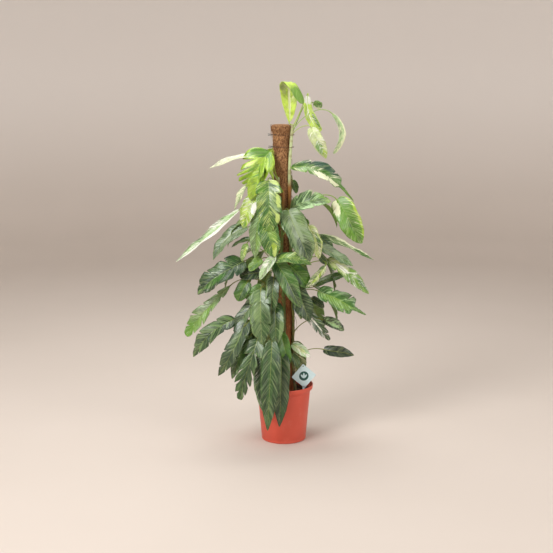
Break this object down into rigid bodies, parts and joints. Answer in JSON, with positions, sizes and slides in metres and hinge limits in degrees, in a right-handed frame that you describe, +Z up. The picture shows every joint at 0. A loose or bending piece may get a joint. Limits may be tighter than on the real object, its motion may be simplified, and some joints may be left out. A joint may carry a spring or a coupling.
{
  "type": "potted climbing plant",
  "caption": "Tall potted climbing aroid with variegated, partly cut leaves, trained up a coir pole in a tapered nursery pot, with a plain plant label in the soil.",
  "frame": {"origin": "middle of the pot's flat underside", "axes": "+Z up along the plant, -Y the side the picture shows, +X to the right as it is seen from there"},
  "size_m": [0.8024, 0.4286, 1.4602],
  "materials": {
    "pot": "smooth terracotta-red plastic with a low sheen",
    "soil": "dark damp potting soil with bark and pale grains",
    "core": "plain round stake",
    "coir": "rough brown coir fibre",
    "vine": "glossy leaves, green with cream and lime markings",
    "wire": "dark coated tie wire",
    "label": "pale card-like plastic with a plain dark motif"
  },
  "bodies": {
    "root": {"pot": "pot", "soil": "soil", "pole_core": "core", "coir_sleeve": "coir", "vine_right": "vine", "vine_left": "vine", "vine_front": "vine", "vine_back": "vine", "tie_upper": "wire", "tie_lower": "wire", "plant_label": "label"}
  },
  "joints": []
}
